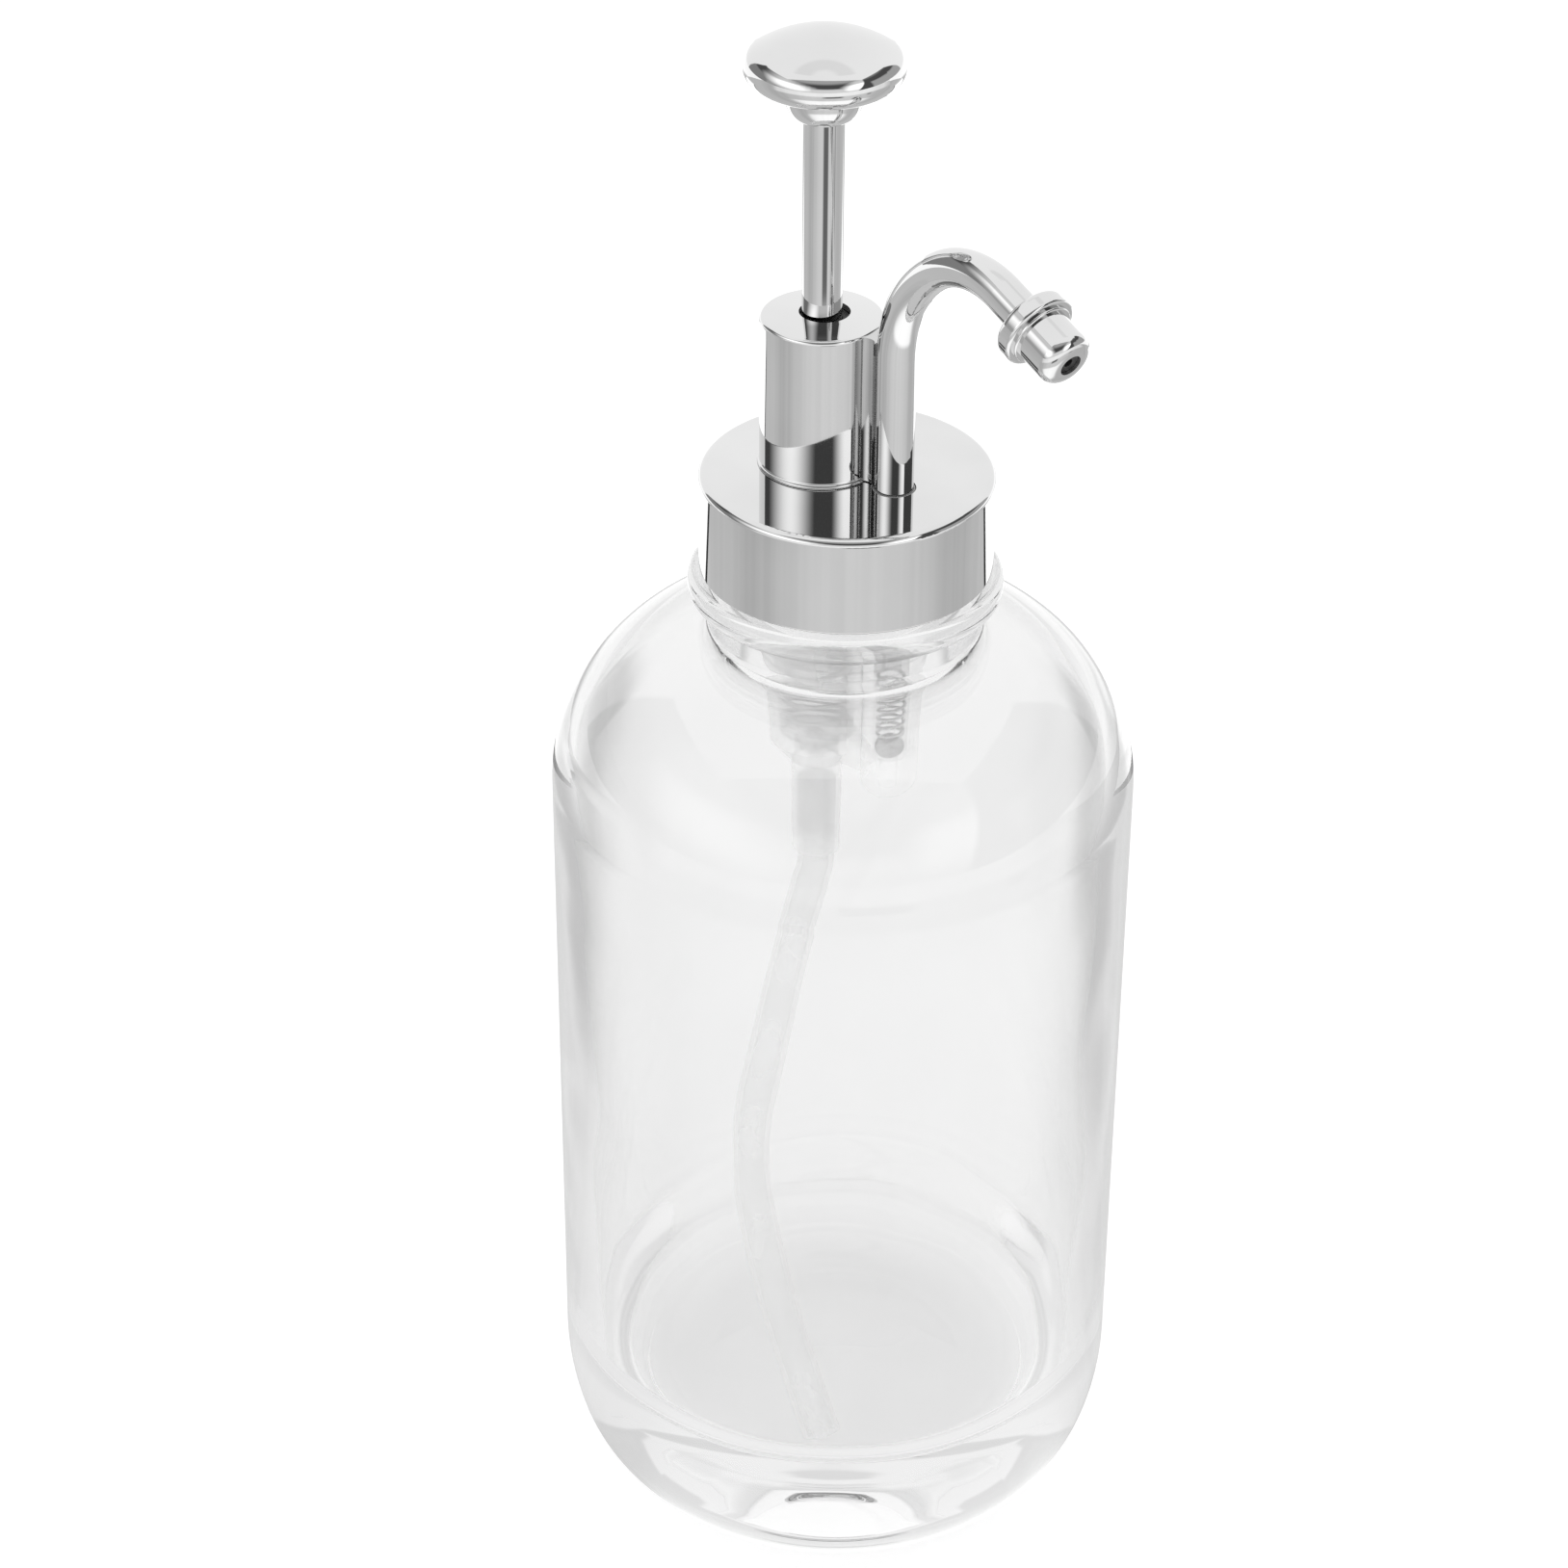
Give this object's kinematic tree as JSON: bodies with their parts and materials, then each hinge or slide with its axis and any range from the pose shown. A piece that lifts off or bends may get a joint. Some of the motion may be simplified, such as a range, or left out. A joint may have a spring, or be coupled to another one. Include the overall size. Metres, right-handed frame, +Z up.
{
  "type": "syrup dispenser",
  "caption": "Round glass bottle with a chromed screw cap carrying a press-down plunger pump, a bent pouring spout with a nozzle, and a curved dip tube inside.",
  "frame": {"origin": "centre of the underside of the bottle's base", "axes": "+Z up along the bottle's axis; +X from the pump turret towards the foot of the spout"},
  "size_m": [0.0811, 0.08, 0.2262],
  "materials": {
    "glass": "clear soda-lime glass, polished",
    "chrome": "polished chrome plate",
    "white_plastic": "white moulded polypropylene",
    "natural_plastic": "natural translucent polypropylene",
    "tube_plastic": "milky extruded polyethylene",
    "black_rubber": "black food-safe rubber",
    "gasket_rubber": "pale soft sealing washer",
    "spring_steel": "drawn stainless wire",
    "ball_steel": "ground stainless ball"
  },
  "bodies": {
    "bottle": {"bottle": "glass"},
    "gasket": {"neck_gasket": "gasket_rubber"},
    "pump_head": {"cap_shell": "chrome", "cap_liner": "white_plastic", "pump_housing": "chrome", "rod_wiper": "black_rubber", "rod_guide": "white_plastic", "return_spring": "spring_steel", "pump_body": "natural_plastic", "tube_adapter": "natural_plastic", "intake_cage": "white_plastic", "dip_tube": "tube_plastic", "outlet_spring": "spring_steel", "spring_sleeve": "white_plastic", "spout_seal": "black_rubber", "spout_tube": "chrome", "nozzle_collar": "chrome", "nozzle_tip": "chrome", "nozzle_valve": "black_rubber"},
    "plunger": {"piston": "white_plastic", "piston_seal": "black_rubber"},
    "knob_and_rod": {"plunger_rod": "chrome", "knob_hub": "chrome", "knob": "chrome"},
    "intake_check": {"intake_ball": "ball_steel"},
    "outlet_check": {"outlet_ball": "ball_steel"}
  },
  "joints": [
    {"name": "head_lift", "type": "slide", "parent": "bottle", "child": "gasket", "axis": [0, 0, 1], "range_m": [0, 0.0045]},
    {"name": "head_turn", "type": "hinge", "parent": "gasket", "child": "pump_head", "pos_m": [0, 0, 0.16], "axis": [0, 0, 1], "range_deg": [0, 400]},
    {"name": "plunger_press", "type": "slide", "parent": "pump_head", "child": "plunger", "axis": [0, 0, -1], "range_m": [0, 0.024], "stiffness_N_per_m": 150, "springref_m": -0.012, "deforming": ["return_spring"]},
    {"name": "knob_spin", "type": "hinge", "parent": "plunger", "child": "knob_and_rod", "pos_m": [-0.0045, 0, 0.2], "axis": [0, 0, 1], "continuous": true},
    {"name": "intake_ball_lift", "type": "slide", "parent": "pump_head", "child": "intake_check", "axis": [0, 0, 1], "range_m": [0, 0.0008]},
    {"name": "outlet_ball_lift", "type": "slide", "parent": "pump_head", "child": "outlet_check", "axis": [0, 0, 1], "range_m": [0, 0.0012], "stiffness_N_per_m": 60, "springref_m": -0.002, "deforming": ["outlet_spring"]}
  ],
  "couplings": [
    {"joint": "head_lift", "follows": "head_turn", "m_per_rad": 0.00063662}
  ]
}
